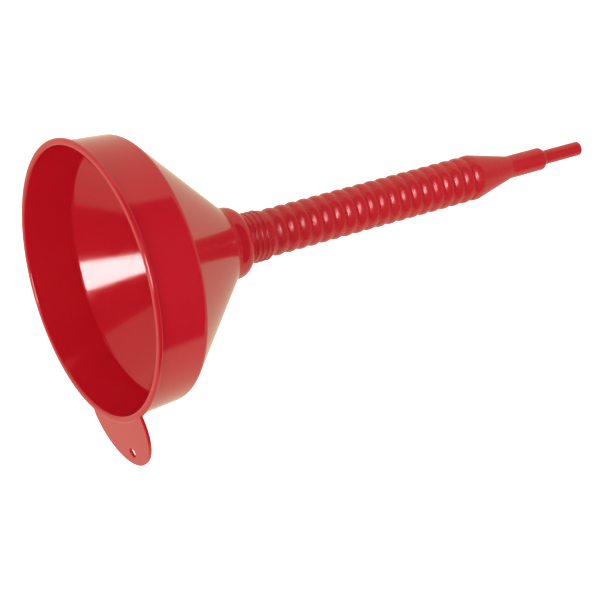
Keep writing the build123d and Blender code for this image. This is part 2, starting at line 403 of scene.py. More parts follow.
# %% [markdown]
# ## Red polyethylene, injection moulded
#
# The bowl and the filter's ring are polyethylene coloured right through with
# red pigment. The steel of an injection mould is polished, so the skin comes
# out smooth and semi-gloss: window-sharp in the highlight, waxy everywhere
# else, with a faint orange peel where the plastic shrank as it cooled. The
# pigment is spread a little unevenly by the flow, over centimetres.
#
# Polyethylene lets light in before it sends it back, so a little subsurface
# scattering softens edges such as the lip, and red goes furthest. Its index of
# refraction is 1.51.

# %% Polyethylene finishes
POLYETHYLENE_IOR = 1.51
SCATTERED = 0.08
SCATTER_RADIUS = (1.0, 0.12, 0.1)
SCATTER_SCALE = 1.5 * MM
FLOW_SIZE = 35 * MM
HAZE_SIZE = 9 * MM
SMOOTHER, ROUGHER = -0.02, 0.04
# Nearly all of a noise lies between these two values
NOISE_LOW, NOISE_HIGH = 0.3, 0.7


def polyethylene(name, red, shade_red, roughness, peel_size, peel_depth):
    material = bpy.data.materials.new(name)
    material.use_nodes = True
    tree = material.node_tree
    shader = tree.nodes["Principled BSDF"]
    shader.inputs["IOR"].default_value = POLYETHYLENE_IOR
    shader.inputs["Subsurface Weight"].default_value = SCATTERED
    shader.inputs["Subsurface Radius"].default_value = SCATTER_RADIUS
    shader.inputs["Subsurface Scale"].default_value = SCATTER_SCALE

    place = node(tree, "ShaderNodeAttribute", attribute_name="rest_place").outputs["Vector"]
    flow = node(tree, "ShaderNodeTexNoise", {"Vector": place, "Scale": 1 / FLOW_SIZE, "Detail": 3.0})
    shades = {0: flow.outputs["Fac"], MIX_FIRST: linear(red), MIX_SECOND: linear(shade_red)}
    pigment = node(tree, "ShaderNodeMix", shades, data_type="RGBA")
    tree.links.new(pigment.outputs[MIX_COLOUR], shader.inputs["Base Color"])

    haze = node(tree, "ShaderNodeTexNoise", {"Vector": place, "Scale": 1 / HAZE_SIZE, "Detail": 4.0})
    gloss = {"Value": haze.outputs["Fac"], 1: NOISE_LOW, 2: NOISE_HIGH}
    gloss |= {3: roughness + SMOOTHER, 4: roughness + ROUGHER}
    gloss = node(tree, "ShaderNodeMapRange", gloss)
    tree.links.new(gloss.outputs[0], shader.inputs["Roughness"])

    peel = node(tree, "ShaderNodeTexNoise", {"Vector": place, "Scale": 1 / peel_size, "Detail": 2.0})
    bump = {"Strength": 1.0, "Distance": peel_depth, "Height": peel.outputs["Fac"]}
    bump = node(tree, "ShaderNodeBump", bump)
    tree.links.new(bump.outputs["Normal"], shader.inputs["Normal"])
    return material


moulded_red = polyethylene(
    "injection_moulded_red_polyethylene",
    red="#D41B2B",
    shade_red="#CC1928",
    roughness=0.1,
    peel_size=3.0 * MM,
    peel_depth=0.012 * MM,
)
ring_red = polyethylene(
    "satin_red_polyethylene_ring",
    red="#C4161E",
    shade_red="#BA141C",
    roughness=0.28,
    peel_size=2.0 * MM,
    peel_depth=0.015 * MM,
)
print("finishes:", moulded_red.name, ring_red.name)

# %% [markdown]
# ## Red polyethylene, blow moulded
#
# The spout is blown like a bottle: a hot tube is closed between two mould
# halves and air presses it outwards. The outside takes a slightly softer skin
# than an injection mould gives, and a hair-thin parting line runs down both
# sides where the halves met. The line follows the tube when it bends, so it is
# drawn from the place that each point had when the spout was straight, which
# every piece keeps in an attribute called rest_place.

# %% Blow moulded finish with its parting line
PARTING_WIDTH = 0.25 * MM
PARTING_HEIGHT = 0.05 * MM

blown_red = polyethylene(
    "blow_moulded_red_polyethylene",
    red=SPOUT_RED,
    shade_red="#CC1923",
    roughness=0.25,
    peel_size=2.5 * MM,
    peel_depth=0.015 * MM,
)
blown = blown_red.node_tree
shader = blown.nodes["Principled BSDF"]
rest_place = node(blown, "ShaderNodeAttribute", attribute_name="rest_place").outputs["Vector"]
sideways = node(blown, "ShaderNodeSeparateXYZ", {0: rest_place}).outputs["Y"]
from_parting = node(blown, MATH, {0: sideways}, operation="ABSOLUTE").outputs[0]
line = {"Value": from_parting, 1: 0.0, 2: PARTING_WIDTH, 3: 1.0, 4: 0.0}
line = node(blown, "ShaderNodeMapRange", line, interpolation_type="SMOOTHSTEP").outputs[0]
under = shader.inputs["Normal"].links[0].from_socket
seam = {"Strength": 1.0, "Distance": PARTING_HEIGHT, "Height": line, "Normal": under}
seam = node(blown, "ShaderNodeBump", seam)
blown.links.new(seam.outputs["Normal"], shader.inputs["Normal"])
print("parting line", PARTING_WIDTH / MM, "mm half width")

# %% [markdown]
# ## Brass wire
#
# Filter gauze is woven from drawn brass wire. Drawing leaves it bright and
# smooth along its length, and handling leaves some strands a shade browner.

# %% Brass wire
STRAND_SIZE = 4 * MM
BRASS_SMOOTH, BRASS_WORN = 0.24, 0.36

brass = bpy.data.materials.new("woven_drawn_brass_wire")
brass.use_nodes = True
brass_tree = brass.node_tree
brass_shader = brass_tree.nodes["Principled BSDF"]
brass_shader.inputs["Metallic"].default_value = 1.0
wire_place = node(brass_tree, "ShaderNodeAttribute", attribute_name="rest_place").outputs["Vector"]
strands = {"Vector": wire_place, "Scale": 1 / STRAND_SIZE, "Detail": 3.0}
strands = node(brass_tree, "ShaderNodeTexNoise", strands)
tones = {0: strands.outputs["Fac"], MIX_FIRST: linear("#D8B560"), MIX_SECOND: linear("#A98238")}
tone = node(brass_tree, "ShaderNodeMix", tones, data_type="RGBA")
brass_tree.links.new(tone.outputs[MIX_COLOUR], brass_shader.inputs["Base Color"])
shine = {"Value": strands.outputs["Fac"], 1: NOISE_LOW, 2: NOISE_HIGH}
shine |= {3: BRASS_SMOOTH, 4: BRASS_WORN}
shine = node(brass_tree, "ShaderNodeMapRange", shine)
brass_tree.links.new(shine.outputs[0], brass_shader.inputs["Roughness"])
print("finish:", brass.name)

# %% [markdown]
# ## Turned shapes
#
# The bowl, the filter's ring, the cuff and the nozzle are all shapes that a
# lathe could make: one closed outline carried round the axis. Blender's Screw
# modifier could do it, but here every corner needs its own rounding, and the
# shading needs a short flat beside each rounding so that the broad faces stay
# flat to the eye. So a function rounds the outline first, and another carries
# it round and closes both ways. Corners sharper than 40 degrees are marked as
# sharp edges, and each point's place is kept in the rest_place attribute.

# %% Outline, lathe and finishing
ARC_STEP = math.radians(12)
FLAT_BESIDE = 0.5 * MM
FLAT_SHARE = 0.3
LEAST_STEPS = 3
SHARP_ANGLE = math.radians(40)


def rounded_outline(corners):
    """Points along a closed outline of (radius, height, rounding) corners."""
    spots = [Vector(corner[:2]) for corner in corners]
    sides = [(spots[(index + 1) % len(spots)] - spot) for index, spot in enumerate(spots)]
    halves = [(-sides[index - 1]).angle(side) / 2 for index, side in enumerate(sides)]
    reaches = [corner[2] / math.tan(half) for corner, half in zip(corners, halves)]
    points = []
    for index, (spot, half, reach) in enumerate(zip(spots, halves, reaches)):
        rounding = corners[index][2]
        if rounding == 0:
            points.append(spot)
            continue
        nearby = (index + 1) % len(spots)
        left_before = sides[index - 1].length - reach - reaches[index - 1]
        left_after = sides[index].length - reach - reaches[nearby]
        before, after = -sides[index - 1].normalized(), sides[index].normalized()
        middle = spot + (before + after).normalized() * rounding / math.sin(half)
        first = spot + before * reach - middle
        last = spot + after * reach - middle
        turn = first.angle_signed(last)
        steps = max(LEAST_STEPS, math.ceil(abs(turn) / ARC_STEP))
        points.append(spot + before * (reach + min(FLAT_BESIDE, FLAT_SHARE * left_before)))
        for step in range(steps + 1):
            points.append(middle + Matrix.Rotation(-turn * step / steps, 2) @ first)
        points.append(spot + after * (reach + min(FLAT_BESIDE, FLAT_SHARE * left_after)))
    return points


def finished(name, mesh, material):
    """An object for this mesh, shaded smooth but for its sharp corners."""
    shape = bmesh.new()
    shape.from_mesh(mesh)
    for face in shape.faces:
        face.smooth = True
    for edge in shape.edges:
        edge.smooth = edge.calc_face_angle(0) < SHARP_ANGLE
    volume = shape.calc_volume(signed=True)
    shape.to_mesh(mesh)
    shape.free()
    places = mesh.attributes.new("rest_place", "FLOAT_VECTOR", "POINT")
    places.data.foreach_set("vector", [value for vertex in mesh.vertices for value in vertex.co])
    mesh.materials.clear()
    mesh.materials.append(material)
    piece = bpy.data.objects.new(name, mesh)
    bpy.context.scene.collection.objects.link(piece)
    print(name, len(mesh.polygons), "faces,", round(volume / MM**3 / 1000, 2), "cm3")
    return piece


def turned_mesh(name, outline, around, swell=None):
    """The outline carried round Z. swell(angle, radius, height) may change a radius."""
    vertices = []
    for step in range(around):
        angle = 2 * math.pi * step / around
        for radius, height in outline:
            if swell:
                radius = swell(angle, radius, height)
            vertices.append((radius * math.cos(angle), radius * math.sin(angle), height))
    faces = []
    count = len(outline)
    for step in range(around):
        here = step * count
        there = (step + 1) % around * count
        for point in range(count):
            ahead = (point + 1) % count
            faces.append((here + point, here + ahead, there + ahead, there + point))
    mesh = bpy.data.meshes.new(name)
    mesh.from_pydata(vertices, [], faces)
    return mesh


print("arc step", round(math.degrees(ARC_STEP)), "degrees")

# %% [markdown]
# ## The bowl
#
# The bowl is one moulding: a flat lip, an upright band that flares slightly so
# that it leaves the mould, the cone, the collar, and the threaded neck that
# hides inside the spout's cuff. Its wall is 2.2 mm thick down to the collar, so
# the inside of the outline follows the outside. The thread is plain rings, as in
# the CAD. The collar runs into its shoulder in one broad round, which is drawn
# fuller here than in the CAD and cuts a little more off the corner.

# %% Outline of the bowl
AROUND_BOWL = 240
THREAD_RINGS = 4
THREAD_HEIGHT = 0.7 * MM
THREAD_HALF_FOOT = 0.8 * MM
THREAD_HALF_CREST = 0.4 * MM
COLLAR_ROUND = 10.0 * MM

wall_top = MOUTH_RADIUS - LIP_WIDTH + BOWL_WALL
band_foot = wall_top - BAND_TAPER
cone_height = MOUTH_TOP - BAND_HEIGHT
cone_slope = (band_foot - COLLAR_RADIUS) / cone_height
cone_inset = BOWL_WALL * math.hypot(1, cone_slope)
inner_foot = cone_height + (cone_inset - BOWL_WALL) / cone_slope
collar_bore = COLLAR_RADIUS - BOWL_WALL
cone_end = (collar_bore - COLLAR_RADIUS + cone_inset) / cone_slope
shoulder_foot = -COLLAR_LENGTH - (COLLAR_RADIUS - SHOULDER_RADIUS)
neck_foot = shoulder_foot - NECK_LENGTH
ledge_top = -COLLAR_LENGTH + BOWL_WALL * (math.sqrt(2) - 1)
ledge_foot = ledge_top - (collar_bore - NECK_BORE)
lip_foot = MOUTH_TOP - LIP_HEIGHT

# Each corner is its radius, its height and its rounding
bowl_corners = [
    (MOUTH_RADIUS - LIP_WIDTH, MOUTH_TOP, 1.4 * MM),
    (MOUTH_RADIUS, MOUTH_TOP, 1.4 * MM),
    (MOUTH_RADIUS, lip_foot, 1.4 * MM),
    (wall_top, lip_foot, 0.4 * MM),
    (band_foot, cone_height, 5.0 * MM),
    (COLLAR_RADIUS, 0, 0.8 * MM),
    (COLLAR_RADIUS, -COLLAR_LENGTH, COLLAR_ROUND),
    (SHOULDER_RADIUS, shoulder_foot, 0.9 * MM),
    (NECK_RADIUS, shoulder_foot, 0.2 * MM),
]
for ring in range(THREAD_RINGS):
    middle = THREAD_TOP - THREAD_PITCH * ring
    bowl_corners += [
        (NECK_RADIUS, middle + THREAD_HALF_FOOT, 0),
        (NECK_RADIUS + THREAD_HEIGHT, middle + THREAD_HALF_CREST, 0.15 * MM),
        (NECK_RADIUS + THREAD_HEIGHT, middle - THREAD_HALF_CREST, 0.15 * MM),
        (NECK_RADIUS, middle - THREAD_HALF_FOOT, 0),
    ]
bowl_corners += [
    (NECK_RADIUS, neck_foot, 0.3 * MM),
    (NECK_BORE, neck_foot, 0.3 * MM),
    (NECK_BORE, ledge_foot, 0.8 * MM),
    (collar_bore, ledge_top, 0.4 * MM),
    (collar_bore, cone_end, 0.8 * MM),
    (band_foot - BOWL_WALL, inner_foot, 2.8 * MM),
]
bowl_wall = turned_mesh("bowl_wall", rounded_outline(bowl_corners), AROUND_BOWL)
print("bowl outline has", len(bowl_wall.vertices) // AROUND_BOWL, "points")

# %% [markdown]
# ## The hanging tab
#
# The tab is a flat disc that droops from the lip, with a hole near its tip for
# a hook. It is moulded in one with the bowl, so it is joined to it by an exact
# Boolean rather than left overlapping. It is built as a stack of outlines:
# each is the disc's arc outside the mouth, closed along a line that stays
# buried in the lip, and the edge is rounded by drawing the outer ones inwards.

# %% Outlines of the hanging tab
TAB_REACH = 31.1 * MM
TAB_RADIUS = 34.4 * MM
TAB_THICKNESS = 2.2 * MM
TAB_SETBACK = 0.9 * MM
TAB_BELOW_MOUTH = 0.4 * MM
TAB_EDGE = 0.5 * MM
TAB_BURIED = 0.2 * MM
TAB_DROOP = math.radians(10.4)
HOLE_RADIUS = 3.3 * MM
HOLE_FROM_TIP = 9.3 * MM
AROUND_TAB = 96
AROUND_HOLE = 40

hinge = MOUTH_RADIUS - LIP_WIDTH / 2
tip = LIP_WIDTH / 2 + TAB_REACH
disc_middle = tip - TAB_RADIUS
hole_middle = tip - HOLE_FROM_TIP
tab_frame = Matrix.Translation((hinge, 0, MOUTH_TOP - TAB_SETBACK))
tab_frame = tab_frame @ Matrix.Rotation(TAB_DROOP, 4, "Y")


def tab_arc(inset):
    """The tab's outline in its own plane, with its visible edge drawn in."""
    radius = TAB_RADIUS - inset
    arc = []
    for step in range(AROUND_TAB):
        turn = math.pi * (2 * (step + 0.5) / AROUND_TAB - 1)
        x = disc_middle + radius * math.cos(turn)
        y = radius * math.sin(turn)
        buried = (math.sqrt((hinge + TAB_BURIED) ** 2 - y**2) - hinge) / math.cos(TAB_DROOP)
        arc.append((max(x, buried), y))
    return arc


def hole_arc(inset):
    """The hole's outline, widened towards the faces."""
    turns = [2 * math.pi * step / AROUND_HOLE for step in range(AROUND_HOLE)]
    radius = HOLE_RADIUS + inset
    return [(hole_middle + radius * math.cos(turn), radius * math.sin(turn)) for turn in turns]


def below_mouth(spot):
    """The spot, pressed down where the tab's corners would stand above the lip."""
    return Vector((spot.x, spot.y, min(spot.z, MOUTH_TOP - TAB_BELOW_MOUTH)))


print("tab droops", round(math.degrees(TAB_DROOP), 1), "degrees")

# %% [markdown]
# The layers run from the upper face round the edge to the lower face. The two
# faces are filled last, between the tab's outline and the hole's.

# %% Body of the hanging tab
edge_turns = [math.radians(turn) for turn in (90, 60, 30, 0)]
layers = [(TAB_EDGE + FLAT_BESIDE, 0.0)]
layers += [(TAB_EDGE * (1 - math.cos(turn)), TAB_EDGE * (1 - math.sin(turn))) for turn in edge_turns]
layers += [(inset, TAB_THICKNESS - depth) for inset, depth in reversed(layers)]

shape = bmesh.new()
for arc_of in (tab_arc, hole_arc):
    rings = []
    for inset, depth in layers:
        spots = [tab_frame @ Vector((x, y, -depth)) for x, y in arc_of(inset)]
        rings.append([shape.verts.new(below_mouth(spot)) for spot in spots])
    for upper, lower in zip(rings, rings[1:]):
        for point in range(len(upper)):
            beside = (point + 1) % len(upper)
            shape.faces.new((upper[point], lower[point], lower[beside], upper[beside]))
flat_frame = tab_frame.inverted()
rim = [edge for edge in shape.edges if edge.is_boundary]
upper_rim = [edge for edge in rim if (flat_frame @ edge.verts[0].co).z > -TAB_THICKNESS / 2]
bmesh.ops.triangle_fill(shape, use_beauty=True, edges=upper_rim)
rim = [edge for edge in shape.edges if edge.is_boundary]
bmesh.ops.triangle_fill(shape, use_beauty=True, edges=rim)
bmesh.ops.recalc_face_normals(shape, faces=shape.faces)
print("tab:", len(shape.verts), "points, open edges", sum(edge.is_boundary for edge in shape.edges))
tab_mesh = bpy.data.meshes.new("tab")
shape.to_mesh(tab_mesh)
shape.free()

# %% [markdown]
# The Boolean is run once and its result is kept as a plain mesh.

# %% Tab joined to the bowl
tab_object = bpy.data.objects.new("tab", tab_mesh)
bowl_object = bpy.data.objects.new("bowl_wall", bowl_wall)
for made in (tab_object, bowl_object):
    bpy.context.scene.collection.objects.link(made)
union = bowl_object.modifiers.new("join", "BOOLEAN")
union.operation = "UNION"
union.solver = "EXACT"
union.object = tab_object
depsgraph = bpy.context.evaluated_depsgraph_get()
joined = bowl_object.evaluated_get(depsgraph)
joined = bpy.data.meshes.new_from_object(joined, depsgraph=depsgraph)
for made in (tab_object, bowl_object):
    bpy.data.objects.remove(made)

bowl = finished("bowl_shell", joined, moulded_red)
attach(bowl, "bowl")
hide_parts("bowl")

# %% [markdown]
# ## The filter's ring
#
# The ring rests with its chamfer on the ledge inside the collar and grips the
# gauze in a groove. It is turned too, with every edge broken a little as a
# mould leaves it.

# %% Filter ring
AROUND_SMALL = 128

ring_outer = ring_high.x
gauze_outer = gauze_high.x
ring_inner = gauze_outer - GAUZE_GRIP

ring_corners = [
    (ring_inner, ring_high.z, 0.4 * MM),
    (ring_outer, ring_high.z, 0.6 * MM),
    (ring_outer, ring_low.z + RING_CHAMFER, 0.4 * MM),
    (ring_outer - RING_CHAMFER, ring_low.z, 0.3 * MM),
    (ring_inner, ring_low.z, 0.4 * MM),
    (ring_inner, gauze_low.z, 0.1 * MM),
    (gauze_outer, gauze_low.z, 0),
    (gauze_outer, gauze_high.z, 0),
    (ring_inner, gauze_high.z, 0.1 * MM),
]
ring_mesh = turned_mesh("filter_ring", rounded_outline(ring_corners), AROUND_SMALL)
ring = finished("filter_ring", ring_mesh, ring_red)
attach(ring, "filter")
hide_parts("filter_frame")

# %% [markdown]
# ## Trees that make shapes
#
# Two shapes here follow a rule: the woven gauze and the folds of the spout.
# Each gets a Geometry Nodes tree with named inputs for its sizes. One function
# starts such a tree. The other puts a tree on an empty mesh, fills its inputs by
# their identifiers before the first evaluation, and keeps a plain mesh.

# %% Running a shape tree
def shape_tree(name, sizes):
    """A tree with these named inputs, and the inputs' sockets by name."""
    tree = bpy.data.node_groups.new(name, "GeometryNodeTree")
    tree.interface.new_socket("Geometry", in_out="OUTPUT", socket_type="NodeSocketGeometry")
    for size, value in sizes.items():
        kind = "NodeSocketInt" if isinstance(value, int) else "NodeSocketFloat"
        tree.interface.new_socket(size, in_out="INPUT", socket_type=kind).default_value = value
    group_input = node(tree, "NodeGroupInput")
    return tree, {size: group_input.outputs[size] for size in sizes}


def made_by(tree, name, sizes):
    """The mesh that the tree makes with these sizes."""
    carrier = bpy.data.objects.new(name, bpy.data.meshes.new("carrier"))
    bpy.context.scene.collection.objects.link(carrier)
    modifier = carrier.modifiers.new("shape", "NODES")
    modifier.node_group = tree
    for item in tree.interface.items_tree:
        if item.item_type == "SOCKET" and item.in_out == "INPUT" and item.name in sizes:
            modifier[item.identifier] = sizes[item.name]
    depsgraph = bpy.context.evaluated_depsgraph_get()
    mesh = bpy.data.meshes.new_from_object(carrier.evaluated_get(depsgraph), depsgraph=depsgraph)
    mesh.name = name
    bpy.data.objects.remove(carrier)
    return mesh


print("ready for trees")

# %% [markdown]
# ## The gauze
#
# Filter gauze is a plain weave: each wire passes over one neighbour and under
# the next. A picture of a weave would do from afar, but the gauze is seen
# against light, so real wires with real holes are worth their faces. One wire
# is a line; instances of it, stretched to the length that fits the ring at
# their place, make one direction. A wave lifts each crossing by half a wire's
# room, and the other direction is the same set turned a quarter and mirrored.
#
# Real gauze of this kind has about 0.5 mm between wires. It is drawn at 1 mm
# so that it shows as a weave, with wires of 0.27 mm.

# %% Tree of the woven gauze
weave_sizes = {
    "Radius": gauze_outer - 0.1 * MM,
    "Pitch": 1.0 * MM,
    "Wire radius": 0.135 * MM,
    "Wave": 0.15 * MM,
    "Height": (gauze_low.z + gauze_high.z) / 2,
    "Samples": 153,
}
weave, size = shape_tree("woven_gauze", weave_sizes)
reach = node(weave, MATH, {0: size["Radius"], 1: size["Pitch"]}, operation="DIVIDE").outputs[0]
reach = node(weave, MATH, {0: reach}, operation="FLOOR").outputs[0]
count = node(weave, MATH, {0: reach, 1: 2.0, 2: 1.0}, operation="MULTIPLY_ADD").outputs[0]
first = node(weave, MATH, {0: reach, 1: size["Pitch"]}, operation="MULTIPLY").outputs[0]
first = node(weave, MATH, {0: first, 1: -1.0}, operation="MULTIPLY").outputs[0]
start = node(weave, "ShaderNodeCombineXYZ", {"X": first}).outputs[0]
offset = node(weave, "ShaderNodeCombineXYZ", {"X": size["Pitch"]}).outputs[0]
rail = node(weave, "GeometryNodeMeshLine", {"Count": count, "Start Location": start, "Offset": offset})

position = node(weave, "GeometryNodeInputPosition").outputs[0]
across = node(weave, "ShaderNodeSeparateXYZ", {0: position}).outputs["X"]
across_squared = node(weave, MATH, {0: across, 1: across}, operation="MULTIPLY").outputs[0]
radius_squared = {0: size["Radius"], 1: size["Radius"]}
radius_squared = node(weave, MATH, radius_squared, operation="MULTIPLY").outputs[0]
left = node(weave, MATH, {0: radius_squared, 1: across_squared}, operation="SUBTRACT").outputs[0]
half_length = node(weave, MATH, {0: left}, operation="SQRT").outputs[0]
stretch = node(weave, "ShaderNodeCombineXYZ", {"X": 1.0, "Y": half_length, "Z": 1.0}).outputs[0]

line = node(weave, "GeometryNodeCurvePrimitiveLine", {"Start": (0, -1, 0), "End": (0, 1, 0)}).outputs[0]
line = node(weave, "GeometryNodeResampleCurve", {"Curve": line, "Count": size["Samples"]}).outputs[0]
wires = {"Points": rail.outputs[0], "Instance": line, "Scale": stretch}
wires = node(weave, "GeometryNodeInstanceOnPoints", wires).outputs[0]
wires = node(weave, "GeometryNodeRealizeInstances", {0: wires}).outputs[0]

turn_per_metre = node(weave, MATH, {0: math.pi, 1: size["Pitch"]}, operation="DIVIDE").outputs[0]
lift = size["Wave"]
for axis in ("X", "Y"):
    position = node(weave, "GeometryNodeInputPosition").outputs[0]
    along = node(weave, "ShaderNodeSeparateXYZ", {0: position}).outputs[axis]
    phase = node(weave, MATH, {0: along, 1: turn_per_metre}, operation="MULTIPLY").outputs[0]
    wave = node(weave, MATH, {0: phase}, operation="COSINE").outputs[0]
    lift = node(weave, MATH, {0: lift, 1: wave}, operation="MULTIPLY").outputs[0]
lift = node(weave, "ShaderNodeCombineXYZ", {"Z": lift}).outputs[0]
warp = node(weave, "GeometryNodeSetPosition", {"Geometry": wires, "Offset": lift}).outputs[0]
weft = {"Geometry": warp, "Rotation": (0, 0, math.pi / 2), "Scale": (1, 1, -1)}
weft = node(weave, "GeometryNodeTransform", weft).outputs[0]
both = node(weave, "GeometryNodeJoinGeometry")
weave.links.new(warp, both.inputs[0])
weave.links.new(weft, both.inputs[0])
round_wire = {"Resolution": 5, "Radius": size["Wire radius"]}
round_wire = node(weave, "GeometryNodeCurvePrimitiveCircle", round_wire).outputs[0]
solid = {"Curve": both.outputs[0], "Profile Curve": round_wire, "Fill Caps": True}
solid = node(weave, "GeometryNodeCurveToMesh", solid).outputs[0]
raise_by = node(weave, "ShaderNodeCombineXYZ", {"Z": size["Height"]}).outputs[0]
solid = node(weave, "GeometryNodeTransform", {"Geometry": solid, "Translation": raise_by}).outputs[0]
solid = node(weave, "GeometryNodeRealizeInstances", {0: solid}).outputs[0]
solid = node(weave, "GeometryNodeSetMaterial", {"Geometry": solid, "Material": brass}).outputs[0]
node(weave, "NodeGroupOutput", {0: solid})

# %% Gauze
gauze = finished("filter_weave", made_by(weave, "filter_weave", weave_sizes), brass)
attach(gauze, "filter")
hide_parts("filter_gauze")

# %% [markdown]
# ## The cuff
#
# The cuff screws over the neck. It is blown with the spout, so its outside
# shows the thread as a soft raised helix that fades in under the top edge and
# out above the first valley. A lathe gives plain rings, so the helix is added
# by letting the radius swell where the helix passes: for every point the
# function finds how far above or below the nearest turn it lies.

# %% Cuff's outline and helix
HELIX_TURNS = 3.2
HELIX_HEIGHT = 0.9 * MM
HELIX_HALF_WIDTH = 1.05 * MM
HELIX_FADE = math.radians(50)
HELIX_FREE = 0.3 * MM
CUFF_SAMPLE = 0.22 * MM
CUFF_RADIUS = SHOULDER_RADIUS - 1.0 * MM
CUFF_BORE = NECK_RADIUS + 0.05 * MM
CUFF_TAPER = 3.2 * MM
SHELF_GAP = 0.3 * MM
LONG_SIDE = 5 * MM
AROUND_CUFF = 160
TOUCH = 0.01 * MM

cuff_shelf = neck_foot - SHELF_GAP
cuff_foot = cuff_shelf - CUFF_TAPER
spout_bore = VALLEY_RADIUS - SPOUT_WALL


def helix_swell(angle, radius, height):
    """The radius with the raised helix added, for a point on the outside."""
    if radius < CUFF_RADIUS - TOUCH or height > CUFF_TOP - HELIX_FREE:
        return radius
    added = 0.0
    for turn in range(math.ceil(HELIX_TURNS) + 1):
        travelled = angle + 2 * math.pi * turn
        left = 2 * math.pi * HELIX_TURNS - travelled
        fade = max(0.0, min(1.0, travelled / HELIX_FADE, left / HELIX_FADE))
        fade = fade * fade * (3 - 2 * fade)
        off = abs(height - (THREAD_TOP - THREAD_PITCH * travelled / (2 * math.pi)))
        if off < HELIX_HALF_WIDTH:
            bulge = math.sqrt(0.5 + 0.5 * math.cos(math.pi * off / HELIX_HALF_WIDTH)) * fade
            added = max(added, HELIX_HEIGHT * bulge)
    return radius + added


cuff_outline = rounded_outline(
    [
        (CUFF_BORE, CUFF_TOP, 0.3 * MM),
        (CUFF_RADIUS, CUFF_TOP, 0.4 * MM),
        (CUFF_RADIUS, cuff_shelf, 0),
        (VALLEY_RADIUS, cuff_foot, 0),
        (VALLEY_RADIUS, VALLEYS[0], 0),
        (spout_bore, VALLEYS[0], 0),
        (spout_bore, cuff_foot, 0),
        (CUFF_BORE, cuff_shelf, 0.3 * MM),
    ]
)
print("cuff is", round((CUFF_TOP - cuff_shelf) / MM, 1), "mm long inside, shelf to top")

# %% [markdown]
# The helix needs points to swell, so the one long side outside is divided finely.

# %% Cuff's mesh
for index in range(len(cuff_outline) - 1):
    upper, lower = cuff_outline[index], cuff_outline[index + 1]
    if upper.x > CUFF_RADIUS - TOUCH and upper.y - lower.y > LONG_SIDE:
        steps = round((upper.y - lower.y) / CUFF_SAMPLE)
        between = [upper.lerp(lower, step / steps) for step in range(1, steps)]
        cuff_outline[index + 1 : index + 1] = between
        break
cuff_mesh = turned_mesh("spout_cuff_skin", cuff_outline, AROUND_CUFF, helix_swell)
cuff = finished("spout_cuff_skin", cuff_mesh, blown_red)
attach(cuff, "cuff")
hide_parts("spout_cuff")

# %% [markdown]
# ## The folds of the spout
#
# The spout bends because its wall is folded: broad rounded crests with narrow
# valleys between them, all at one pitch. That is a rule, so a tree makes it.
# A wall patch is a grid: one way round the axis, the other way down the outside
# and back up the inside. Each point's height comes from its row, its distance
# from the nearest crest from a ping-pong of that height, and its radius from
# two arcs that meet smoothly: a large one over the crest and a small one in the
# valley. A short flat at every crest and valley lets neighbouring patches meet
# without a visible line.
#
# The arithmetic is a table: each line names a result, the operation, and what
# it works on. The sum of the two arcs' radii follows from the fold's depth and
# run, as for any two circles that touch.

# %% Rule of the spout's folds
MERGE_WITHIN = 0.001 * MM

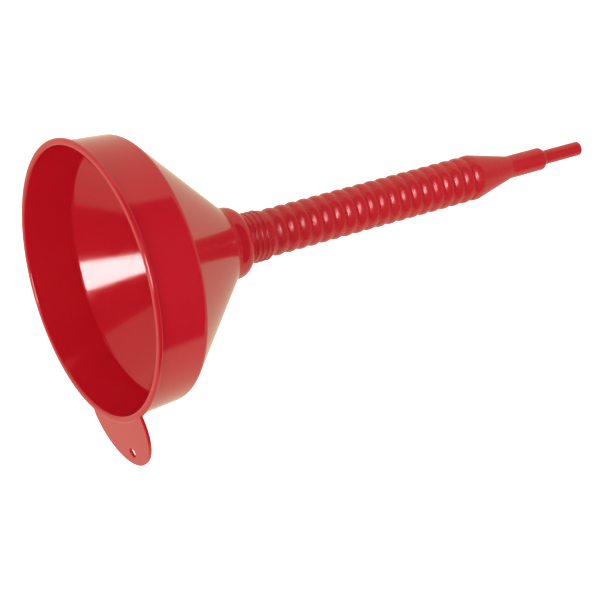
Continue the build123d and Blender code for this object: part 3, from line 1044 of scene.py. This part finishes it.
fold_sizes = {
    "Top": 0.0,
    "Foot": 0.0,
    "Crest height": 0.0,
    "Pitch": PITCH,
    "Crest radius": CREST_RADIUS,
    "Depth": RIB_DEPTH,
    "Valley round": 0.7 * MM,
    "Wall": SPOUT_WALL,
    "Flat": 0.25 * MM,
    "Steps": 64,
    "Around": 96,
}
fold, value = shape_tree("spout_fold", fold_sizes)
value["index"] = node(fold, "GeometryNodeInputIndex").outputs[0]
fold_rule = [
    ("rows", "MULTIPLY_ADD", "Steps", 2.0, 2.0),
    ("rows and seam", "ADD", "rows", 1.0),
    ("columns and seam", "ADD", "Around", 1.0),
    ("row in column", "MODULO", "index", "rows and seam"),
    ("row", "MODULO", "row in column", "rows"),
    ("column", "DIVIDE", "index", "rows and seam"),
    ("whole column", "FLOOR", "column"),
    ("turn", "DIVIDE", "whole column", "Around"),
    ("angle", "MULTIPLY", "turn", 2 * math.pi),
    ("last outside", "ADD", "Steps", 0.5),
    ("inside", "GREATER_THAN", "row", "last outside"),
    ("row offset", "SUBTRACT", "row", "last outside"),
    ("row away", "ABSOLUTE", "row offset"),
    ("step", "SUBTRACT", "last outside", "row away"),
    ("share", "DIVIDE", "step", "Steps"),
    ("drop", "SUBTRACT", "Top", "Foot"),
    ("fallen", "MULTIPLY", "drop", "share"),
    ("height", "SUBTRACT", "Top", "fallen"),
    ("half pitch", "MULTIPLY", "Pitch", 0.5),
    ("below crest", "SUBTRACT", "Crest height", "height"),
    ("from crest", "PINGPONG", "below crest", "half pitch"),
    ("from valley", "SUBTRACT", "half pitch", "from crest"),
    ("past crest", "SUBTRACT", "from crest", "Flat"),
    ("on crest", "MAXIMUM", "past crest", 0.0),
    ("past valley", "SUBTRACT", "from valley", "Flat"),
    ("in valley", "MAXIMUM", "past valley", 0.0),
    ("both flats", "MULTIPLY", "Flat", 2.0),
    ("run", "SUBTRACT", "half pitch", "both flats"),
    ("run squared", "MULTIPLY", "run", "run"),
    ("run and depth squared", "MULTIPLY_ADD", "Depth", "Depth", "run squared"),
    ("twice depth", "MULTIPLY", "Depth", 2.0),
    ("both radii", "DIVIDE", "run and depth squared", "twice depth"),
    ("crest round", "SUBTRACT", "both radii", "Valley round"),
    ("crest share", "DIVIDE", "crest round", "both radii"),
    ("touching point", "MULTIPLY", "run", "crest share"),
    ("beyond it", "GREATER_THAN", "on crest", "touching point"),
    ("crest round squared", "MULTIPLY", "crest round", "crest round"),
    ("on crest squared", "MULTIPLY", "on crest", "on crest"),
    ("crest left", "SUBTRACT", "crest round squared", "on crest squared"),
    ("crest left or none", "MAXIMUM", "crest left", 0.0),
    ("crest bow", "SQRT", "crest left or none"),
    ("crest middle", "SUBTRACT", "Crest radius", "crest round"),
    ("crest arc", "ADD", "crest middle", "crest bow"),
    ("valley round squared", "MULTIPLY", "Valley round", "Valley round"),
    ("in valley squared", "MULTIPLY", "in valley", "in valley"),
    ("valley left", "SUBTRACT", "valley round squared", "in valley squared"),
    ("valley left or none", "MAXIMUM", "valley left", 0.0),
    ("valley bow", "SQRT", "valley left or none"),
    ("valley radius", "SUBTRACT", "Crest radius", "Depth"),
    ("valley middle", "ADD", "valley radius", "Valley round"),
    ("valley arc", "SUBTRACT", "valley middle", "valley bow"),
    ("lower by", "SUBTRACT", "valley arc", "crest arc"),
    ("outer radius", "MULTIPLY_ADD", "beyond it", "lower by", "crest arc"),
    ("wall here", "MULTIPLY", "inside", "Wall"),
    ("radius", "SUBTRACT", "outer radius", "wall here"),
    ("cosine", "COSINE", "angle"),
    ("sine", "SINE", "angle"),
    ("x", "MULTIPLY", "radius", "cosine"),
    ("y", "MULTIPLY", "radius", "sine"),
]
print("the rule has", len(fold_rule), "lines")

# %% [markdown]
# Each line becomes one Math node, and its last results place the points of a
# plain grid. The grid's seams close where points meet.

# %% Tree of the spout's folds
for result, operation, *operands in fold_rule:
    sockets = {place: value.get(operand, operand) for place, operand in enumerate(operands)}
    value[result] = node(fold, MATH, sockets, operation=operation, label=result).outputs[0]

grid = {"Vertices X": value["columns and seam"], "Vertices Y": value["rows and seam"]}
patch = node(fold, "GeometryNodeMeshGrid", grid).outputs["Mesh"]
place = {"X": value["x"], "Y": value["y"], "Z": value["height"]}
place = node(fold, "ShaderNodeCombineXYZ", place).outputs[0]
patch = node(fold, "GeometryNodeSetPosition", {"Geometry": patch, "Position": place}).outputs[0]
patch = {"Geometry": patch, "Distance": MERGE_WITHIN}
patch = node(fold, "GeometryNodeMergeByDistance", patch).outputs[0]
patch = node(fold, "GeometryNodeFlipFaces", {0: patch}).outputs[0]
patch = node(fold, "GeometryNodeRealizeInstances", {0: patch}).outputs[0]
patch = node(fold, "GeometryNodeSetMaterial", {"Geometry": patch, "Material": blown_red}).outputs[0]
node(fold, "NodeGroupOutput", {0: patch})
print("fold tree has", len(fold.nodes), "nodes")

# %% [markdown]
# Each patch runs from crest to crest over one hinge and stays where it is made. The first one starts at
# the valley where the cuff ends.

# %% Folds
for number, valley in enumerate(VALLEYS, start=1):
    top = valley if number == 1 else valley + PITCH / 2
    foot = valley - PITCH / 2
    name = f"spout_fold_{number:02d}"
    sizes = fold_sizes | {"Top": top, "Foot": foot, "Crest height": foot}
    if number == 1:
        sizes["Steps"] = fold_sizes["Steps"] // 2
    piece = finished(name, made_by(fold, name, sizes), blown_red)
    start = (0, 0, top - fold_sizes["Flat"] if number > 1 else top)
    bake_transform(piece)
    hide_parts("spout_nozzle" if number == len(VALLEYS) else f"spout_rib_{number:02d}")

# %% [markdown]
# ## The nozzle
#
# Below the last crest the spout runs out into a long cone, a straight step that
# fills a wide filler neck, and a thin tip for a narrow one. The step's lower
# edge is well rounded, as air can't press the plastic into a sharp corner. The
# inside follows at the wall's thickness, and the tip is cut off square.

# %% Nozzle
STEP_RADIUS = 8.3 * MM
STEP_LENGTH = 30.0 * MM
STEP_FALL = 4.0 * MM
TIP_RADIUS = 5.25 * MM
TIP_LENGTH = 33.5 * MM
SHOULDER_LENGTH = 1.8 * MM

last_crest = VALLEYS[-1] - PITCH / 2
tip_top = TIP_FOOT + TIP_LENGTH
step_foot = tip_top + STEP_FALL
step_top = step_foot + STEP_LENGTH
cone_top = last_crest - SHOULDER_LENGTH
nozzle_corners = [
    (CREST_RADIUS - SPOUT_WALL, last_crest, 0),
    (CREST_RADIUS, last_crest, 0),
    (CREST_RADIUS, cone_top, 6.0 * MM),
    (STEP_RADIUS, step_top, 8.0 * MM),
    (STEP_RADIUS, step_foot, 1.6 * MM),
    (TIP_RADIUS, tip_top, 1.0 * MM),
    (TIP_RADIUS, TIP_FOOT, 0.4 * MM),
    (TIP_RADIUS - SPOUT_WALL, TIP_FOOT, 0.3 * MM),
    (TIP_RADIUS - SPOUT_WALL, tip_top, 1.0 * MM),
    (STEP_RADIUS - SPOUT_WALL, step_foot, 1.0 * MM),
    (STEP_RADIUS - SPOUT_WALL, step_top, 8.0 * MM),
    (CREST_RADIUS - SPOUT_WALL, cone_top, 5.0 * MM),
]
nozzle_mesh = turned_mesh("spout_nozzle_skin", rounded_outline(nozzle_corners), AROUND_SMALL)
nozzle = finished("spout_nozzle_skin", nozzle_mesh, blown_red)
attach(nozzle, "nozzle")
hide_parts("spout_nozzle")

# %% [markdown]
# ## Boxes of the CAD parts and of the looks
#
# Both boxes are printed. The looks must stay inside the box of the CAD parts.

# %% Boxes and finish
visual_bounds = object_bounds()
boxes = {"cad": cad_bounds, "visual": visual_bounds}
boxes = {name: [list(corner) for corner in box] for name, box in boxes.items()}
print("CAD box", boxes["cad"])
print("visual box", boxes["visual"])
